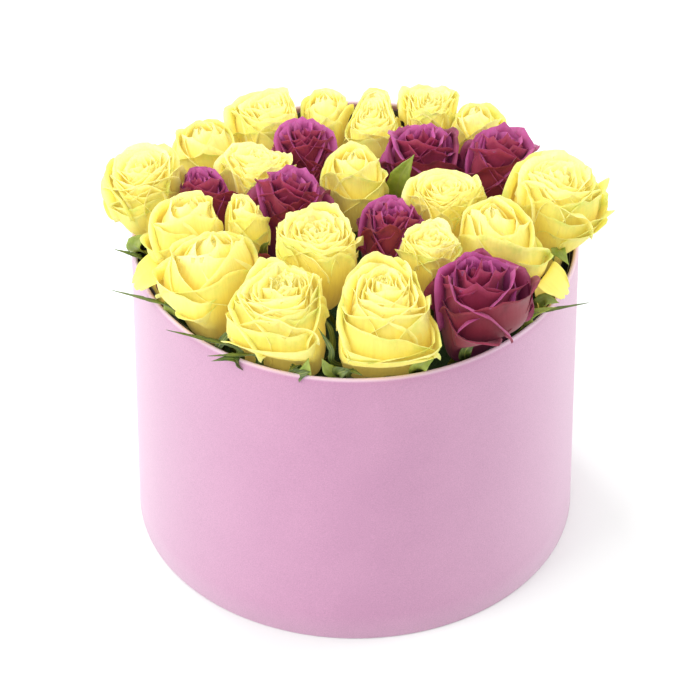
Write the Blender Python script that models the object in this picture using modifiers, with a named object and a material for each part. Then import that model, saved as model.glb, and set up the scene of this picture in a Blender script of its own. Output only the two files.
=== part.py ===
"""Round pink hat box filled with yellow and plum cut roses.

The box is a paper-covered board tube on a board disc. A dark film cup inside it holds a block
of floral foam, and every rose stands in its own hole in that foam. Metres, +Z up, origin at
the middle of the box's underside, the front of the box towards -Y.
"""
import math
from collections import namedtuple

import bmesh
import bpy
import numpy as np
from mathutils import Vector

MM = 0.001

# Box
BOX_RADIUS = 125 * MM
BOX_HEIGHT = 191 * MM
WALL = 3 * MM
BASE_THICKNESS = 3 * MM
GAP = 0.3 * MM
FILM = 0.8 * MM
FILM_BELOW_RIM = 2 * MM
FOAM_BELOW_RIM = 56 * MM
FOAM_CHAMFER = 4 * MM
ROUND_SIDES = 48
FOAM_SIDES = 40

# Stems
STEM_RADIUS = 2.5 * MM
STEM_SIDES = 5
HIP_RADIUS = 5 * MM
HIP_LENGTH = 9 * MM
DEPTH_IN_FOAM = 34 * MM

# Petals and sepals
PETAL_THICKNESS = 1.1 * MM
SEPAL_THICKNESS = 0.9 * MM
GOLDEN_TURN = math.radians(137.5)
PETAL_AGES = (1.0, 0.90, 0.80, 0.68, 0.50, 0.34)
BIG_HEAD = 28
BIG_ROWS = (0.10, 0.60, 0.85, 1.0)
SMALL_ROWS = (0.10, 0.66, 1.0)
PETAL_COLUMNS = 4
CORE_SIDES = 6
CORE_RINGS = ((0.0, 0.0), (0.40, 0.0), (0.84, 0.20), (0.40, 0.70), (0.0, 0.88))
HALF_CLEARANCE = 0.85 * MM
WALL_CLEARANCE = 4 * MM
SPREAD_START = 4 * MM
SPREAD_SLOPE = 1.8

FOAM_TOP = BOX_HEIGHT - FOAM_BELOW_RIM
FILM_OUTER = BOX_RADIUS - WALL - GAP
FILM_INNER = FILM_OUTER - FILM
HEAD_RADIUS_LIMIT = FILM_INNER - WALL_CLEARANCE

# One rose: the visible middle of its head at x, y and height above the rim, its radius and
# length, how far the head leans, which way (0 = +X, 90 = the back), where its outermost petal
# faces, all in mm and degrees, and how far that petal's lip ends below the heart, as a share
# of the length.
Rose = namedtuple("Rose", "number colour form x y height radius length lean towards turn sink petals")

ROSES = [
    Rose(1, "yellow", "rosette", -47, 92, 22, 24, 50, 12, 110, -80, 0.09, 6),
    Rose(2, "yellow", "smooth", -17, 97, 22, 20, 46, 10, 100, -60, 0.13, 5),
    Rose(3, "yellow", "rosette", 9, 89, 19, 27, 48, 6, 90, -100, 0.05, 5),
    Rose(4, "yellow", "ruffled", 43, 95, 22, 20, 46, 10, 70, -90, 0.05, 5),
    Rose(5, "yellow", "smooth", 69, 84, 24, 16, 48, 12, 40, 60, 0.08, 5),
    Rose(6, "yellow", "smooth", -87, 64, 25, 18, 46, 9, 160, -90, 0.10, 5),
    Rose(7, "plum", "pointed", -29, 55, 31, 15, 46, 8, 90, -120, 0.14, 6),
    Rose(8, "plum", "pointed", 38, 52, 30, 21, 50, 9, 90, -130, 0.14, 6),
    Rose(9, "plum", "pointed", 83, 48, 30, 21, 52, 12, 50, -70, 0.14, 6),
    Rose(10, "yellow", "ruffled", -55, 28, 33, 22, 46, 6, 110, -90, 0.10, 6),
    Rose(11, "yellow", "rosette", -119, 9, 43, 20, 62, 14, 180, -110, 0.07, 6),
    Rose(12, "plum", "pointed", -88, 5, 35, 21, 46, 9, 130, -140, 0.09, 6),
    Rose(13, "plum", "pointed", -37, -3, 42, 19, 54, 9, 90, -60, 0.10, 6),
    Rose(14, "yellow", "smooth", -1, 21, 40, 15, 50, 2, 90, -90, 0.04, 5),
    Rose(15, "yellow", "rosette", 51, -8, 40, 20, 46, 4, 0, -80, 0.05, 6),
    Rose(16, "yellow", "cupped", 113, 0, 44, 24, 66, 10, 5, -50, 0.05, 6),
    Rose(17, "plum", "pointed", 22, -31, 40, 21, 50, 6, 90, -100, 0.05, 6),
    Rose(18, "yellow", "smooth", -90, -27, 44, 24, 58, 6, 190, -140, 0.08, 6),
    Rose(19, "yellow", "smooth", -62, -22, 41, 14, 48, 4, 120, -60, 0.08, 5),
    Rose(20, "yellow", "ruffled", -21, -50, 44, 27, 52, 0, -90, -120, 0.04, 6),
    Rose(21, "yellow", "ruffled", 43, -52, 41, 20, 44, 4, 0, -90, 0.08, 5),
    Rose(22, "yellow", "smooth", 75, -35, 45, 27, 60, 3, -30, -90, 0.04, 6),
    Rose(23, "yellow", "smooth", -77, -60, 44, 30, 65, 3, -130, -70, 0.06, 6),
    Rose(24, "yellow", "ruffled", -39, -87, 39, 34, 61, 1, -105, -110, 0.04, 6),
    Rose(25, "yellow", "cupped", 16, -91, 41, 36, 61, 1, -85, -125, 0.04, 6),
    Rose(26, "plum", "pointed", 64, -79, 41, 29, 60, 4, -45, -60, 0.08, 6),
]

# How each form of head is built: mouth = how wide the outermost petal opens, drop = how much
# further its lip sinks in this form, curl = how far the lip rolls back, tip = how pointed it
# is, ruffle = height of the waves along the lip.
Form = namedtuple("Form", "mouth drop curl tip ruffle waves")

FORMS = {
    "smooth": Form(0.88, 0.02, 0.14, 0.04, 0.02, 1.0),
    "rosette": Form(0.92, 0.01, 0.10, 0.02, 0.03, 1.5),
    "cupped": Form(0.88, 0.01, 0.12, 0.02, 0.04, 1.5),
    "ruffled": Form(0.88, 0.02, 0.08, 0.02, 0.05, 2.5),
    "pointed": Form(0.90, 0.01, 0.20, 0.10, 0.03, 1.5),
}

# A loose outer petal that climbs the inside of the box and bends down over its rim: its rose,
# where on the wall it stands (degrees), how high above the rim it bends, the radius and height
# of its lip there, and its half-width, all in mm.
FallenPetal = namedtuple("FallenPetal", "rose climbs bend lip_radius lip_height half")

FALLEN_PETALS = [
    FallenPetal(18, 203, 14, 132, 5, 13),
    FallenPetal(22, 333.5, 11, 130, 4, 11),
]

# A long narrow sepal that climbs the inside of the box and lies over its rim: the rose whose
# hip it grows from, where on the wall it climbs (degrees), its tip in mm (x, y, height above
# the rim) and its widest half-width in mm.
LongSepal = namedtuple("LongSepal", "rose climbs tip half")

LONG_SEPALS = [
    LongSepal(23, 214, (-134, -55, 6), 2.6),
    LongSepal(24, 238, (-103, -88, 5), 3.2),
    LongSepal(24, 244, (-80, -109, 4), 2.8),
    LongSepal(26, 322, (128, -66, 6), 2.6),
    LongSepal(25, 255, (-36, -122, 4), 3.0),
    LongSepal(25, 268, (4, -124, 3), 3.0),
    LongSepal(11, 192, (-133, -22, 8), 2.8),
]
CLIMB_RADIUS = FILM_INNER - 1.9 * MM


def new_material(name, colour, roughness):
    """Principled material with one plain colour."""
    material = bpy.data.materials.new(name)
    material.use_nodes = True
    shader = material.node_tree.nodes["Principled BSDF"]
    shader.inputs["Base Color"].default_value = (*colour, 1.0)
    shader.inputs["Roughness"].default_value = roughness
    material.diffuse_color = (*colour, 1.0)
    return material


def new_collection(name):
    collection = bpy.data.collections.new(name)
    bpy.context.scene.collection.children.link(collection)
    return collection


def new_object(name, bm, collection, material=None):
    """Turn a bmesh into a named object in a collection."""
    mesh = bpy.data.meshes.new(name)
    bm.to_mesh(mesh)
    bm.free()
    thing = bpy.data.objects.new(name, mesh)
    collection.objects.link(thing)
    if material:
        mesh.materials.append(material)
    return thing


def evaluated_mesh(thing):
    bpy.context.view_layer.update()
    depsgraph = bpy.context.evaluated_depsgraph_get()
    return bpy.data.meshes.new_from_object(thing.evaluated_get(depsgraph))


def turned(name, profile, sides, collection, material):
    """Turn a closed profile of (radius, z) points about Z."""
    bm = bmesh.new()
    corners = [bm.verts.new((radius, 0.0, z)) for radius, z in profile]
    closed = profile[0][0] > 0.0
    for first, second in zip(corners, corners[1:] + corners[:1]):
        if closed or second is not corners[0]:
            bm.edges.new((first, second))
    thing = new_object(name, bm, collection, material)
    screw = thing.modifiers.new("Turn", "SCREW")
    screw.steps = sides
    screw.render_steps = sides
    screw.use_merge_vertices = True
    screw.merge_threshold = 0.00005
    return thing


class Head:
    """Place, axis and cell of one rose head.

    The head's own frame has its origin at the neck, its third axis up the middle of the
    head and its first axis the way the head leans.
    """

    def __init__(self, rose):
        self.rose = rose
        self.radius = rose.radius * MM
        self.length = rose.length * MM
        self.form = FORMS[rose.form]
        lean = math.radians(rose.lean)
        towards = math.radians(rose.towards)
        side = np.array([math.cos(towards), math.sin(towards), 0.0])
        up = np.array([0.0, 0.0, 1.0])
        self.axis = side * math.sin(lean) + up * math.cos(lean)
        self.first = side * math.cos(lean) - up * math.sin(lean)
        self.second = np.cross(self.axis, self.first)
        eye = np.array([rose.x * MM, rose.y * MM, BOX_HEIGHT + rose.height * MM])
        self.neck = eye - self.axis * self.length
        self.middle = self.neck + self.axis * self.length * 0.55
        self.walls = []

    def world(self, along_first, along_second, along_axis):
        return (self.neck + along_first[..., None] * self.first
                + along_second[..., None] * self.second
                + along_axis[..., None] * self.axis)

    def meet(self, others):
        """Put a plane between this head and each near one, shared out by their radii."""
        for other in others:
            if other is self:
                continue
            across = other.middle - self.middle
            distance = np.linalg.norm(across)
            if distance < 1.7 * (self.radius + other.radius):
                share = self.radius / (self.radius + other.radius)
                self.walls.append((across / distance, distance * share - HALF_CLEARANCE))

    def squeeze(self, points, envelope=None):
        """Narrow the head where its neighbours or the wall of the box leave less room.

        Every point moves straight towards the head's axis. On its way out from the axis each
        plane, and the round wall, gives the head's whole width there as a share of the room;
        the shares are pooled by a power mean, and all layers of petals on that side shrink
        alike, so that they keep their order and the outermost one stays inside the cell.
        """
        power = 10.0
        along = (points - self.neck) @ self.axis
        foot = self.neck + along[..., None] * self.axis
        offset = points - foot
        distance = np.linalg.norm(offset, axis=-1) + 1e-9
        if envelope is None:
            fill = np.clip(along / (0.5 * self.length), 0.0, 1.0)
            envelope = self.radius * (0.45 + 0.75 * np.sqrt(1 - (1 - fill) ** 2))
        pooled = np.zeros(points.shape[:-1])
        for normal, room in self.walls:
            left = np.maximum(room - (foot - self.middle) @ normal, 2 * MM)
            pooled += np.clip(offset @ normal / left, 0.0, None) ** power
        rise = np.clip(points[..., 2] - (BOX_HEIGHT + SPREAD_START), 0.0, None)
        limit = HEAD_RADIUS_LIMIT + SPREAD_SLOPE * rise
        a = offset[..., 0] ** 2 + offset[..., 1] ** 2 + 1e-12
        b = 2 * (foot[..., 0] * offset[..., 0] + foot[..., 1] * offset[..., 1])
        c = foot[..., 0] ** 2 + foot[..., 1] ** 2 - limit ** 2
        reach = (-b + np.sqrt(np.maximum(b * b - 4 * a * c, 0.0))) / (2 * a)
        pooled += (1.0 / np.maximum(reach, 0.05)) ** power
        share = pooled ** (1.0 / power) * envelope / distance
        return foot + offset * ((1.0 + share ** power) ** (-1.0 / power))[..., None]


def petal_points(head, age, facing, waves_at, u, v):
    """Middle surface of one petal, in world metres.

    u runs across the petal from -1 to 1, v from its root at 0 to its lip at 1, and age from 0
    for the innermost petal to 1 for the outermost. A cubic curve carries the petal out of the
    neck, round the belly and up to the mouth; its sides turn round the head's axis, one side
    a little outside the next petal and the other a little inside; the lip rolls back and
    waves.
    """
    form, radius, length = head.form, head.radius, head.length
    belly = 1.08 * radius * (0.20 + 0.80 * age ** 0.8)
    mouth = radius * (0.14 + (form.mouth - 0.14) * age ** 0.9)
    top = length * (1.0 - (form.drop + head.rose.sink) * age ** 2.2)
    spread = math.radians(92 - 37 * age)
    outline = 1 - (0.12 + form.tip) * np.abs(u) ** 4
    s = v * outline
    t = 1 - s
    root = 0.09 * radius
    out = t ** 3 * root + 3 * t * t * s * belly * 1.10 + 3 * t * s * s * belly * 1.2 + s ** 3 * mouth
    up = 0.5 * MM + 3 * t * t * s * 0.04 * length + 3 * t * s * s * 0.62 * top + s ** 3 * top
    out = out * (1 + 0.04 * u * np.minimum(1.0, 2.5 * s))
    lip = np.clip((v - 0.70 + 0.15 * np.abs(u)) / 0.30, 0.0, 1.0)
    roll = form.curl * radius * age ** 1.5
    out = out + roll * lip ** 2
    up = up - 0.5 * roll * lip ** 2 * (1 + 0.6 * np.abs(u))
    wave = np.sin(form.waves * u * math.pi + waves_at)
    out = out + form.ruffle * radius * wave * s ** 4
    turn = facing + u * spread * (0.55 + 0.45 * np.minimum(1.0, s / 0.45))
    return head.squeeze(head.world(out * np.cos(turn), out * np.sin(turn), up))


def blade_mesh(points, thickness):
    """Closed thin blade round a grid of points.

    One sheet is pushed each way off the middle surface and the two are joined along the edge.
    Both have the same triangles, split from each quad's outermost corner inwards, so that no
    inner edge joins two points of the rim.
    """
    across, along = points.shape[:2]
    step_u = np.gradient(points, axis=0)
    step_v = np.gradient(points, axis=1)
    normals = np.cross(step_u, step_v)
    normals /= np.linalg.norm(normals, axis=2, keepdims=True) + 1e-12
    bm = bmesh.new()
    bmesh.ops.create_grid(bm, x_segments=across - 1, y_segments=along - 1, size=1.0)
    place = {}
    for vert in bm.verts:
        i = round((vert.co.x + 1) / 2 * (across - 1))
        j = round((vert.co.y + 1) / 2 * (along - 1))
        place[vert] = i, j
        vert.co = Vector(points[i, j])
    for face in list(bm.faces):
        outermost = max(face.verts, key=lambda vert: math.hypot(
            place[vert][0] - (across - 1) / 2, place[vert][1] - (along - 1) / 2))
        corners = list(face.verts)
        opposite = corners[(corners.index(outermost) + 2) % 4]
        bmesh.utils.face_split(face, outermost, opposite)
    copy = bmesh.ops.duplicate(bm, geom=bm.verts[:] + bm.edges[:] + bm.faces[:])
    twins = copy["vert_map"]
    for vert, (i, j) in place.items():
        if not vert.is_boundary:
            push = Vector(normals[i, j] * thickness / 2)
            vert.co += push
            twins[vert].co -= push
    far_side = [face for face in copy["geom"] if isinstance(face, bmesh.types.BMFace)]
    bmesh.ops.reverse_faces(bm, faces=far_side)
    bmesh.ops.remove_doubles(bm, verts=bm.verts[:], dist=1e-7)
    bmesh.ops.recalc_face_normals(bm, faces=bm.faces[:])
    return bm


def petal_grid(rows, columns):
    u = np.linspace(-1.0, 1.0, columns)[:, None]
    v = np.array(rows)[None, :]
    return u + 0 * v, v + 0 * u


def join_all(target, pieces, collection):
    """Fuse the pieces into the target with one union, and keep the largest body of it."""
    union = target.modifiers.new("Join", "BOOLEAN")
    union.operation = "UNION"
    union.operand_type = "COLLECTION"
    union.collection = collection
    union.solver = "MANIFOLD"
    joined = evaluated_mesh(target)
    target.modifiers.clear()
    target.data = joined
    for piece in pieces:
        bpy.data.objects.remove(piece)
    bpy.data.collections.remove(collection)
    bm = bmesh.new()
    bm.from_mesh(joined)
    keep_largest_body(bm)
    bm.to_mesh(joined)
    bm.free()


def keep_largest_body(bm):
    unseen = set(bm.verts)
    bodies = []
    while unseen:
        front = [unseen.pop()]
        body = set(front)
        while front:
            for edge in front.pop().link_edges:
                for vert in edge.verts:
                    if vert in unseen:
                        unseen.remove(vert)
                        body.add(vert)
                        front.append(vert)
        bodies.append(body)
    bodies.sort(key=len)
    scraps = [vert for body in bodies[:-1] for vert in body]
    bmesh.ops.delete(bm, geom=scraps, context="VERTS")


def make_bloom(head, collection, material):
    """One rose head: a core shaped like a bud in a bowl, and petals standing out of it."""
    rose = head.rose
    draw = np.random.default_rng(100 + rose.number)
    bm = bmesh.new()
    rings = len(CORE_RINGS) - 1
    bmesh.ops.create_uvsphere(bm, u_segments=CORE_SIDES, v_segments=rings, radius=1.0)
    for vert in bm.verts:
        ring = round(rings * math.acos(max(-1.0, min(1.0, -vert.co.z))) / math.pi)
        wide, high = CORE_RINGS[ring]
        way = vert.co.xy.normalized() * wide * head.radius if wide else Vector((0.0, 0.0))
        flat = np.array([way.x, way.y, GAP + high * head.length])
        vert.co = Vector(head.squeeze(head.world(*flat)))
    bloom = new_object(f"rose_{rose.number:02d}", bm, collection, material)
    layers = new_collection("petals")
    petals = []
    big = rose.radius >= BIG_HEAD
    for k, age in enumerate(PETAL_AGES[:rose.petals]):
        u, v = petal_grid(BIG_ROWS if big and k < 3 else SMALL_ROWS, PETAL_COLUMNS)
        facing = math.radians(rose.turn) - math.radians(rose.towards) + k * GOLDEN_TURN
        points = petal_points(head, age, facing, draw.random() * 2 * math.pi, u, v)
        petals.append(new_object("petal", blade_mesh(points, PETAL_THICKNESS), layers))
    for petal in FALLEN_PETALS:
        if petal.rose == rose.number:
            points = fallen_petal_points(head, petal)
            petals.append(new_object("petal", blade_mesh(points, PETAL_THICKNESS), layers))
    join_all(bloom, petals, layers)


def make_stem(head, collection, material):
    """Stem, hip and five hanging sepals of one rose, in one body."""
    rose = head.rose
    foot_height = (head.neck[2] - FOAM_TOP) / head.axis[2] + DEPTH_IN_FOAM
    bottom = -foot_height
    profile = [
        (0.0, bottom), (STEM_RADIUS, bottom), (STEM_RADIUS, -HIP_LENGTH - 2 * MM),
        (HIP_RADIUS, -HIP_LENGTH * 0.45), (HIP_RADIUS * 0.85, 0.0), (0.0, 0.0),
    ]
    stem = turned(f"stem_{rose.number:02d}", profile, STEM_SIDES, collection, material)
    frame = np.column_stack([head.first, head.second, head.axis])
    solid = evaluated_mesh(stem)
    stem.modifiers.clear()
    bm = bmesh.new()
    bm.from_mesh(solid)
    for vert in bm.verts:
        vert.co = Vector(head.neck + frame @ np.array(vert.co) - head.axis * GAP)
    bmesh.ops.recalc_face_normals(bm, faces=bm.faces[:])
    bm.to_mesh(stem.data)
    bm.free()
    sepals = new_collection("sepals")
    pieces = []
    draw = np.random.default_rng(300 + rose.number)
    start = draw.random() * math.tau
    for k in range(5):
        sepal = hanging_sepal(head, start + k * math.tau / 5, draw.uniform(15, 22) * MM)
        pieces.append(new_object("sepal", sepal, sepals))
    for long_sepal in LONG_SEPALS:
        if long_sepal.rose == rose.number:
            points = long_sepal_points(head, long_sepal)
            pieces.append(new_object("sepal", blade_mesh(points, SEPAL_THICKNESS), sepals))
    join_all(stem, pieces, sepals)


def smooth_path(knots, t):
    """Points at t (0 to 1) on the Catmull-Rom curve through the knots."""
    knots = np.array([2 * knots[0] - knots[1], *knots, 2 * knots[-1] - knots[-2]])
    place = np.clip(np.asarray(t), 0.0, 1.0) * (len(knots) - 3)
    span = np.minimum(place.astype(int), len(knots) - 4)
    f = (place - span)[:, None]
    a, b, c, d = (knots[span + i] for i in range(4))
    return 0.5 * (2 * b + (c - a) * f + (2 * a - 5 * b + 4 * c - d) * f ** 2
                  + (3 * b - a - 3 * c + d) * f ** 3)


def over_rim_path(start, blade, v):
    """Path of a blade from its start, under the petals to the wall, up it and over the rim."""
    angle = math.radians(blade.climbs)
    outwards = np.array([math.cos(angle), math.sin(angle), 0.0])
    rim = np.array([0.0, 0.0, BOX_HEIGHT])
    tip = np.array(blade.tip) * MM + rim
    foot = outwards * (CLIMB_RADIUS - 5 * MM) + np.array([0.0, 0.0, start[2] - 3 * MM])
    wall = outwards * CLIMB_RADIUS + rim + np.array([0.0, 0.0, -10 * MM])
    crest = outwards * (CLIMB_RADIUS + 1.5 * MM) + rim + np.array([0.0, 0.0, 2.5 * MM])
    over = crest + (tip - crest) * 0.4 + np.array([0.0, 0.0, 1.0 * MM])
    return smooth_path([start, foot, wall, crest, over, tip], v), outwards


def draped_path(start, petal, v):
    """Path of a loose petal: up the wall, bent above the rim, and down to its lip outside."""
    angle = math.radians(petal.climbs)
    outwards = np.array([math.cos(angle), math.sin(angle), 0.0])
    upwards = np.array([0.0, 0.0, 1.0])
    rim = upwards * BOX_HEIGHT
    foot = outwards * (CLIMB_RADIUS - 5 * MM) + upwards * (start[2] - 3 * MM)
    wall = outwards * CLIMB_RADIUS + rim - upwards * 10 * MM
    bend = outwards * (CLIMB_RADIUS - 3 * MM) + rim + upwards * petal.bend * MM
    lip = outwards * petal.lip_radius * MM + rim + upwards * petal.lip_height * MM
    over = (bend + lip) / 2 + upwards * 2 * MM
    return smooth_path([start, foot, wall, bend, over, lip], v)


def fallen_petal_points(head, petal):
    """Middle surface of a loose petal: its path over the rim, swept round the box's axis."""
    v = np.array((0.02, 0.25, 0.45, 0.60, 0.80, 1.0))
    path = draped_path(head.neck + head.axis * 4 * MM, petal, v)
    half = petal.half * MM * (0.30 + 0.70 * np.sin(0.5 * math.pi * v)) * np.sqrt(1 - 0.75 * v ** 8)
    u = np.linspace(-1.0, 1.0, PETAL_COLUMNS)[:, None]
    turn = u * half / np.hypot(path[:, 0], path[:, 1])
    x = path[:, 0] * np.cos(turn) - path[:, 1] * np.sin(turn)
    y = path[:, 0] * np.sin(turn) + path[:, 1] * np.cos(turn)
    return np.stack([x, y, path[:, 2] + 0 * turn], axis=-1)


def long_sepal_points(head, sepal):
    """Middle surface of a long sepal: upright against the wall, lying flat past the rim."""
    v = np.array((0.0, 0.22, 0.42, 0.58, 0.68, 0.84, 1.0))
    hip = head.neck - head.axis * (HIP_LENGTH * 0.5 + GAP)
    path, outwards = over_rim_path(hip, sepal, v)
    ahead = np.gradient(path, axis=0)
    upwards = np.array([0.0, 0.0, 1.0])
    side = np.cross(ahead, outwards - 0.5 * upwards)
    flat = np.cross(ahead, upwards)
    side /= np.linalg.norm(side, axis=1, keepdims=True) + 1e-9
    flat /= np.linalg.norm(flat, axis=1, keepdims=True) + 1e-9
    flat *= np.sign(np.sum(side * flat, axis=1, keepdims=True) + 1e-9)
    lying = np.clip((v - 0.60) / 0.2, 0.0, 1.0)[:, None]
    across = side * (1 - lying) + flat * lying
    across /= np.linalg.norm(across, axis=1, keepdims=True)
    half = sepal.half * MM * (0.25 + 0.75 * np.sin(math.pi * v ** 1.3)) * (1 - 0.9 * v ** 8)
    u = np.linspace(-1.0, 1.0, 3)[:, None, None]
    return path[None] + u * (across * half[:, None])[None]


def hanging_sepal(head, facing, length):
    """A narrow keeled sepal that leaves the hip sideways and hangs down beside the stem.

    It starts as a three-sided cone with a ring in the middle, which is flattened and bent.
    """
    bm = bmesh.new()
    bmesh.ops.create_cone(bm, cap_ends=True, segments=3, radius1=1.0, radius2=0.0, depth=1.0)
    bmesh.ops.bisect_plane(bm, geom=bm.verts[:] + bm.edges[:] + bm.faces[:],
                           plane_co=(0.0, 0.0, 0.05), plane_no=(0.0, 0.0, 1.0))
    for vert in bm.verts:
        v = vert.co.z + 0.5
        across = vert.co.x * 2.6 * MM * (1 + 1.5 * v)
        keel = vert.co.y * 1.0 * MM * (1 + 1.0 * v)
        out = HIP_RADIUS * 0.55 + length * (0.62 * v - 0.12 * v * v) + keel * v
        up = -HIP_LENGTH * 0.40 - GAP - length * 0.75 * v * v + keel * (1 - v)
        x = out * math.cos(facing) - across * math.sin(facing)
        y = out * math.sin(facing) + across * math.cos(facing)
        vert.co = Vector(head.squeeze(head.world(*np.array([x, y, up])), 16 * MM))
    bmesh.ops.triangulate(bm, faces=bm.faces[:])
    bmesh.ops.recalc_face_normals(bm, faces=bm.faces[:])
    return bm


def make_box(collection):
    pink = new_material("pink paper", (0.74, 0.40, 0.62), 0.8)
    board = new_material("grey board", (0.62, 0.42, 0.52), 0.85)
    film = new_material("dark film", (0.035, 0.038, 0.05), 0.5)
    rim = WALL * 0.3
    inner = BOX_RADIUS - WALL
    turned("box_wall", [
        (BOX_RADIUS, BOX_HEIGHT - rim), (BOX_RADIUS, 0.0), (inner, 0.0), (inner, BOX_HEIGHT - rim),
        (inner + rim, BOX_HEIGHT), (BOX_RADIUS - rim, BOX_HEIGHT),
    ], ROUND_SIDES, collection, pink)
    disc = BOX_RADIUS - WALL - GAP
    turned("box_base", [
        (0.0, BASE_THICKNESS), (disc, BASE_THICKNESS), (disc, 0.0), (0.0, 0.0),
    ], ROUND_SIDES, collection, board)
    floor = BASE_THICKNESS + GAP
    lip = BOX_HEIGHT - FILM_BELOW_RIM
    turned("film_cup", [
        (0.0, floor + FILM), (FILM_INNER, floor + FILM), (FILM_INNER, lip), (FILM_OUTER, lip),
        (FILM_OUTER, floor), (0.0, floor),
    ], ROUND_SIDES, collection, film)


def make_foam(heads, collection, cutters):
    """Foam block with one plain slanting hole for each stem."""
    green = new_material("floral foam", (0.06, 0.16, 0.07), 0.95)
    outer = FILM_INNER - GAP
    bottom = BASE_THICKNESS + GAP + FILM + GAP
    foam = turned("foam_block", [
        (0.0, FOAM_TOP), (outer - FOAM_CHAMFER, FOAM_TOP), (outer, FOAM_TOP - FOAM_CHAMFER),
        (outer, bottom), (0.0, bottom),
    ], FOAM_SIDES, collection, green)
    bm = bmesh.new()
    for head in heads:
        reach = (head.neck[2] - FOAM_TOP) / head.axis[2]
        top = head.neck - head.axis * (reach - 10 * MM)
        end = head.neck - head.axis * (reach + DEPTH_IN_FOAM + 2 * GAP)
        middle = Vector((top + end) / 2)
        turn = Vector((0.0, 0.0, 1.0)).rotation_difference(Vector(head.axis))
        matrix = turn.to_matrix().to_4x4()
        matrix.translation = middle
        bmesh.ops.create_cone(bm, cap_ends=True, segments=STEM_SIDES,
                              radius1=STEM_RADIUS + 2 * GAP, radius2=STEM_RADIUS + 2 * GAP,
                              depth=float(np.linalg.norm(top - end)), matrix=matrix)
    holes = new_object("stem_holes", bm, cutters)
    holes.hide_render = True
    holes.display_type = "WIRE"
    cut = foam.modifiers.new("Stem holes", "BOOLEAN")
    cut.operation = "DIFFERENCE"
    cut.object = holes


def main():
    for thing in list(bpy.data.objects):
        bpy.data.objects.remove(thing)
    collection = new_collection("flower hat box")
    cutters = new_collection("cutters")
    petals = {
        "yellow": new_material("yellow petals", (0.93, 0.80, 0.16), 0.6),
        "plum": new_material("plum petals", (0.22, 0.02, 0.10), 0.6),
    }
    leaf = new_material("green leaf", (0.07, 0.17, 0.04), 0.55)
    heads = [Head(rose) for rose in ROSES]
    for head in heads:
        head.meet(heads)
    make_box(collection)
    make_foam(heads, collection, cutters)
    for head in heads:
        make_bloom(head, collection, petals[head.rose.colour])
        make_stem(head, collection, leaf)


main()
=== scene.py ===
# %% [markdown]
# # A round hat box filled with cut roses
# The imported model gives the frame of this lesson: a board box, a film lining, a block of
# floral foam and 26 roses with few faces. We keep what is already right, such as the foam and
# the base, and give every other piece a finer twin that stands in the same place.

import math
from collections import namedtuple

import bpy
import numpy as np
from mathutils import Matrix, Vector


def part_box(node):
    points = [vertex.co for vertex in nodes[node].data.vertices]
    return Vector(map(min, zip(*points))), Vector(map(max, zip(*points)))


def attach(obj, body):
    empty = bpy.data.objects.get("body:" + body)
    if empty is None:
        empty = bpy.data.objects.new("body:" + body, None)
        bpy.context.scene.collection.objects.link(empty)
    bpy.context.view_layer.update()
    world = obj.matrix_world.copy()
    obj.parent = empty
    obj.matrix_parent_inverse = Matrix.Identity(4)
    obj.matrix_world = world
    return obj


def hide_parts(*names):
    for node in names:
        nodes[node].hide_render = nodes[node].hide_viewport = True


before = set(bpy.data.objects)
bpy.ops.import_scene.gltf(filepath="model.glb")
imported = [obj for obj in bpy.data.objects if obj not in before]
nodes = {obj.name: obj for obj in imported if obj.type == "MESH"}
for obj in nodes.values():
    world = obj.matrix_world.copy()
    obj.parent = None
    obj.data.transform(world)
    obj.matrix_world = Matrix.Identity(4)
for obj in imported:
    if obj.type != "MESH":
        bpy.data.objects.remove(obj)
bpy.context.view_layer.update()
link = bpy.context.scene.collection.objects.link
MM = 0.001
BOX_RADIUS, _, BOX_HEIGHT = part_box("box_wall")[1]
UP = np.array([0.0, 0.0, 1.0])
RIM = UP * BOX_HEIGHT
print("box radius", round(BOX_RADIUS, 4), "height", round(BOX_HEIGHT, 4))

# %% [markdown]
# ## Camera
# The rim of the box is a circle, and in the photo it is an ellipse. The ratio of its two axes
# gives the height of the camera, about 40 degrees above the table. The rim looks only a
# little wider than the base, which gives the distance and a long lens. The box stands a
# little beside the middle of the picture, so the lens is shifted by a few pixels.

# %% Camera
PICTURE = 700
ELEVATION = math.radians(40.19)
DISTANCE = 2.964
FOCAL_PIXELS = 5206.4
CENTRE_COLUMN = 355.0
CENTRE_ROW = 366.4
SENSOR = 36.0

lens = bpy.data.cameras.new("camera")
camera = bpy.data.objects.new("camera", lens)
link(camera)
back = Vector((0.0, -math.cos(ELEVATION), math.sin(ELEVATION)))
camera.location = Vector((0.0, 0.0, BOX_HEIGHT / 2)) + back * DISTANCE
camera.rotation_euler = (-back).to_track_quat("-Z", "Y").to_euler()
lens.sensor_width = SENSOR
lens.lens = FOCAL_PIXELS / PICTURE * SENSOR
lens.shift_x = (PICTURE / 2 - CENTRE_COLUMN) / PICTURE
lens.shift_y = (CENTRE_ROW - PICTURE / 2) / PICTURE
lens.clip_start = 0.1
lens.clip_end = 20.0
bpy.context.scene.camera = camera
print("lens", round(lens.lens), "mm")

# %% [markdown]
# ## Studio
# A white table, an even white sky and one large soft lamp from the left: the left side of the
# box is the brightest. A weak lamp from the back right lights that edge of the box, and one
# from the back left casts the only shadow, a faint one on the table at the front right.

# %% Studio
LAMPS = (
    ("key lamp", (-1.6, -0.9, 1.6), 1.4, 27.0),
    ("edge lamp", (1.7, 0.6, 1.0), 1.0, 13.0),
    ("back lamp", (-0.9, 1.3, 1.7), 0.7, 16.0),
)
AIM_HEIGHT = 0.12

world = bpy.data.worlds.new("studio sky")
world.use_nodes = True
sky = world.node_tree.nodes["Background"].inputs
sky["Color"].default_value = (1.0, 1.0, 1.0, 1.0)
sky["Strength"].default_value = 1.0
bpy.context.scene.world = world
bpy.context.scene.view_settings.view_transform = "Standard"

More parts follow.
